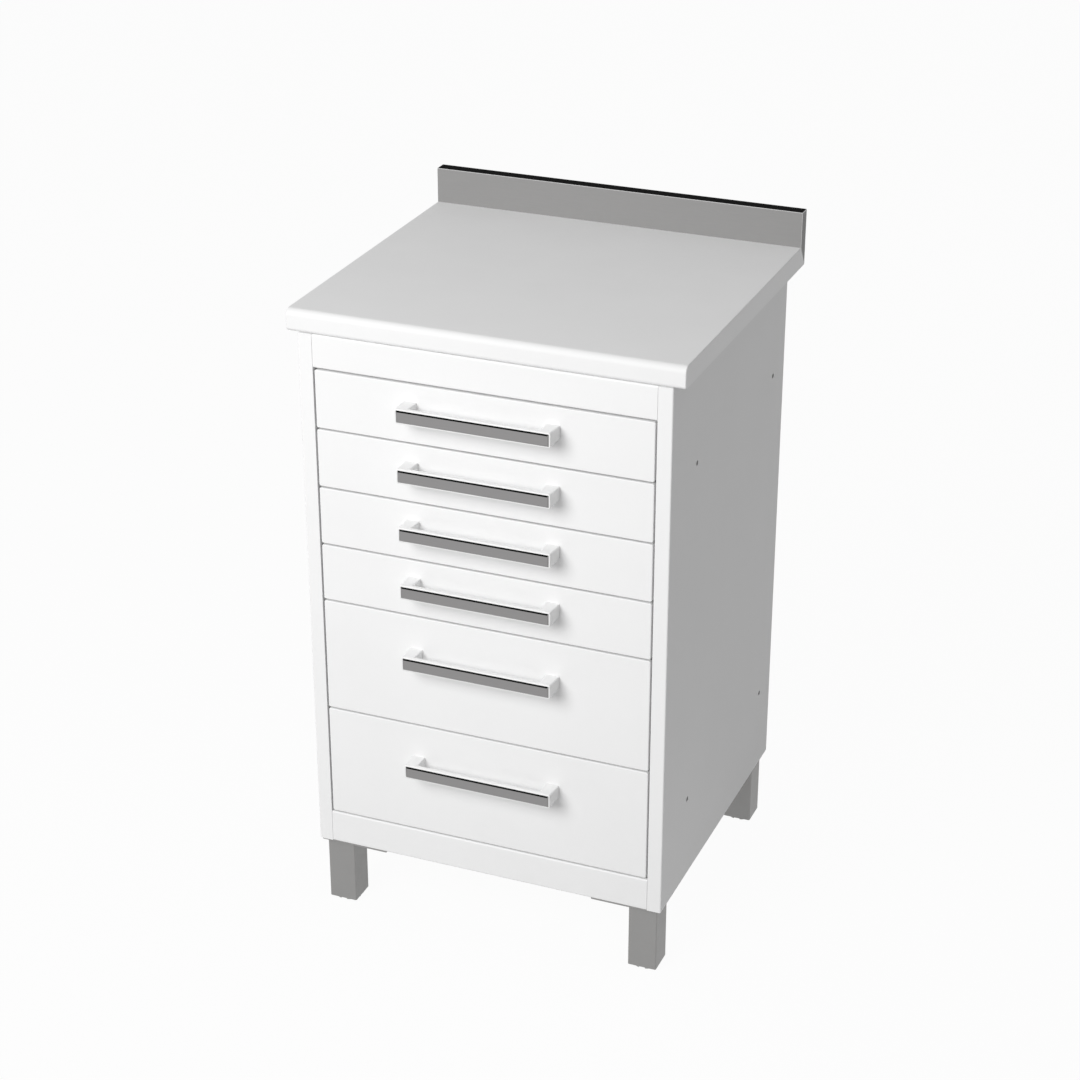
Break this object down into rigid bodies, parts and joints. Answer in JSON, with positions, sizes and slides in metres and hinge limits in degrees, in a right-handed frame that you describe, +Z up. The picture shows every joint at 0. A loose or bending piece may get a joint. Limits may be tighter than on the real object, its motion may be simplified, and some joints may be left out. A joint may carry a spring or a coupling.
{
  "type": "drawer cabinet",
  "caption": "White sheet-metal drawer cabinet on square legs, with a worktop, a rear upstand and shallow and deep drawers with bar handles.",
  "frame": {"origin": "floor level, under the middle of the overall outline in plan", "axes": "+Z up, +X to the right of someone facing the drawers, drawers open towards -Y"},
  "size_m": [0.53, 0.5144, 0.9217],
  "materials": {
    "white_paint": "satin white powder coat",
    "inner_paint": "satin white powder coat on the drawer boxes",
    "grey_paint": "satin grey powder coat",
    "worktop_laminate": "matte white laminate",
    "brushed_metal": "dark brushed metal",
    "zinc_steel": "zinc-plated steel",
    "grey_plastic": "moulded plastic"
  },
  "bodies": {
    "carcass": {"left_side_panel": "white_paint", "right_side_panel": "white_paint", "bottom_panel": "white_paint", "top_front_rail": "white_paint", "back_panel": "white_paint", "worktop": "worktop_laminate", "backsplash": "brushed_metal", "carcass_screws": "zinc_steel", "leg_screws": "zinc_steel", "cabinet_rails": "zinc_steel", "front_left_leg": "grey_paint", "front_right_leg": "grey_paint", "rear_left_leg": "grey_paint", "rear_right_leg": "grey_paint"},
    "drawer_1": {"drawer_1_front": "white_paint", "drawer_1_box": "inner_paint", "drawer_1_handle": "white_paint", "drawer_1_handle_strip": "brushed_metal", "drawer_1_screws": "zinc_steel", "drawer_1_rails": "zinc_steel"},
    "drawer_1_middle": {"drawer_1_middle_rails": "zinc_steel"},
    "drawer_2": {"drawer_2_front": "white_paint", "drawer_2_box": "inner_paint", "drawer_2_handle": "white_paint", "drawer_2_handle_strip": "brushed_metal", "drawer_2_screws": "zinc_steel", "drawer_2_rails": "zinc_steel"},
    "drawer_2_middle": {"drawer_2_middle_rails": "zinc_steel"},
    "drawer_3": {"drawer_3_front": "white_paint", "drawer_3_box": "inner_paint", "drawer_3_handle": "white_paint", "drawer_3_handle_strip": "brushed_metal", "drawer_3_screws": "zinc_steel", "drawer_3_rails": "zinc_steel"},
    "drawer_3_middle": {"drawer_3_middle_rails": "zinc_steel"},
    "drawer_4": {"drawer_4_front": "white_paint", "drawer_4_box": "inner_paint", "drawer_4_handle": "white_paint", "drawer_4_handle_strip": "brushed_metal", "drawer_4_screws": "zinc_steel", "drawer_4_rails": "zinc_steel"},
    "drawer_4_middle": {"drawer_4_middle_rails": "zinc_steel"},
    "drawer_5": {"drawer_5_front": "white_paint", "drawer_5_box": "inner_paint", "drawer_5_handle": "white_paint", "drawer_5_handle_strip": "brushed_metal", "drawer_5_screws": "zinc_steel", "drawer_5_rails": "zinc_steel"},
    "drawer_5_middle": {"drawer_5_middle_rails": "zinc_steel"},
    "drawer_6": {"drawer_6_front": "white_paint", "drawer_6_box": "inner_paint", "drawer_6_handle": "white_paint", "drawer_6_handle_strip": "brushed_metal", "drawer_6_screws": "zinc_steel", "drawer_6_rails": "zinc_steel"},
    "drawer_6_middle": {"drawer_6_middle_rails": "zinc_steel"},
    "front_left_foot": {"front_left_foot": "grey_plastic"},
    "front_right_foot": {"front_right_foot": "grey_plastic"},
    "rear_left_foot": {"rear_left_foot": "grey_plastic"},
    "rear_right_foot": {"rear_right_foot": "grey_plastic"}
  },
  "joints": [
    {"name": "drawer_1_slide", "type": "slide", "parent": "carcass", "child": "drawer_1", "axis": [0, -1, 0], "range_m": [0, 0.4]},
    {"name": "drawer_1_middle_slide", "type": "slide", "parent": "carcass", "child": "drawer_1_middle", "axis": [0, -1, 0], "range_m": [0, 0.2]},
    {"name": "drawer_2_slide", "type": "slide", "parent": "carcass", "child": "drawer_2", "axis": [0, -1, 0], "range_m": [0, 0.4]},
    {"name": "drawer_2_middle_slide", "type": "slide", "parent": "carcass", "child": "drawer_2_middle", "axis": [0, -1, 0], "range_m": [0, 0.2]},
    {"name": "drawer_3_slide", "type": "slide", "parent": "carcass", "child": "drawer_3", "axis": [0, -1, 0], "range_m": [0, 0.4]},
    {"name": "drawer_3_middle_slide", "type": "slide", "parent": "carcass", "child": "drawer_3_middle", "axis": [0, -1, 0], "range_m": [0, 0.2]},
    {"name": "drawer_4_slide", "type": "slide", "parent": "carcass", "child": "drawer_4", "axis": [0, -1, 0], "range_m": [0, 0.4]},
    {"name": "drawer_4_middle_slide", "type": "slide", "parent": "carcass", "child": "drawer_4_middle", "axis": [0, -1, 0], "range_m": [0, 0.2]},
    {"name": "drawer_5_slide", "type": "slide", "parent": "carcass", "child": "drawer_5", "axis": [0, -1, 0], "range_m": [0, 0.4]},
    {"name": "drawer_5_middle_slide", "type": "slide", "parent": "carcass", "child": "drawer_5_middle", "axis": [0, -1, 0], "range_m": [0, 0.2]},
    {"name": "drawer_6_slide", "type": "slide", "parent": "carcass", "child": "drawer_6", "axis": [0, -1, 0], "range_m": [0, 0.4]},
    {"name": "drawer_6_middle_slide", "type": "slide", "parent": "carcass", "child": "drawer_6_middle", "axis": [0, -1, 0], "range_m": [0, 0.2]},
    {"name": "front_left_foot_screw", "type": "slide", "parent": "carcass", "child": "front_left_foot", "axis": [0, 0, -1], "range_m": [0, 0.015]},
    {"name": "front_right_foot_screw", "type": "slide", "parent": "carcass", "child": "front_right_foot", "axis": [0, 0, -1], "range_m": [0, 0.015]},
    {"name": "rear_left_foot_screw", "type": "slide", "parent": "carcass", "child": "rear_left_foot", "axis": [0, 0, -1], "range_m": [0, 0.015]},
    {"name": "rear_right_foot_screw", "type": "slide", "parent": "carcass", "child": "rear_right_foot", "axis": [0, 0, -1], "range_m": [0, 0.015]}
  ],
  "couplings": [
    {"joint": "drawer_1_middle_slide", "follows": "drawer_1_slide", "ratio": 0.5},
    {"joint": "drawer_2_middle_slide", "follows": "drawer_2_slide", "ratio": 0.5},
    {"joint": "drawer_3_middle_slide", "follows": "drawer_3_slide", "ratio": 0.5},
    {"joint": "drawer_4_middle_slide", "follows": "drawer_4_slide", "ratio": 0.5},
    {"joint": "drawer_5_middle_slide", "follows": "drawer_5_slide", "ratio": 0.5},
    {"joint": "drawer_6_middle_slide", "follows": "drawer_6_slide", "ratio": 0.5}
  ]
}
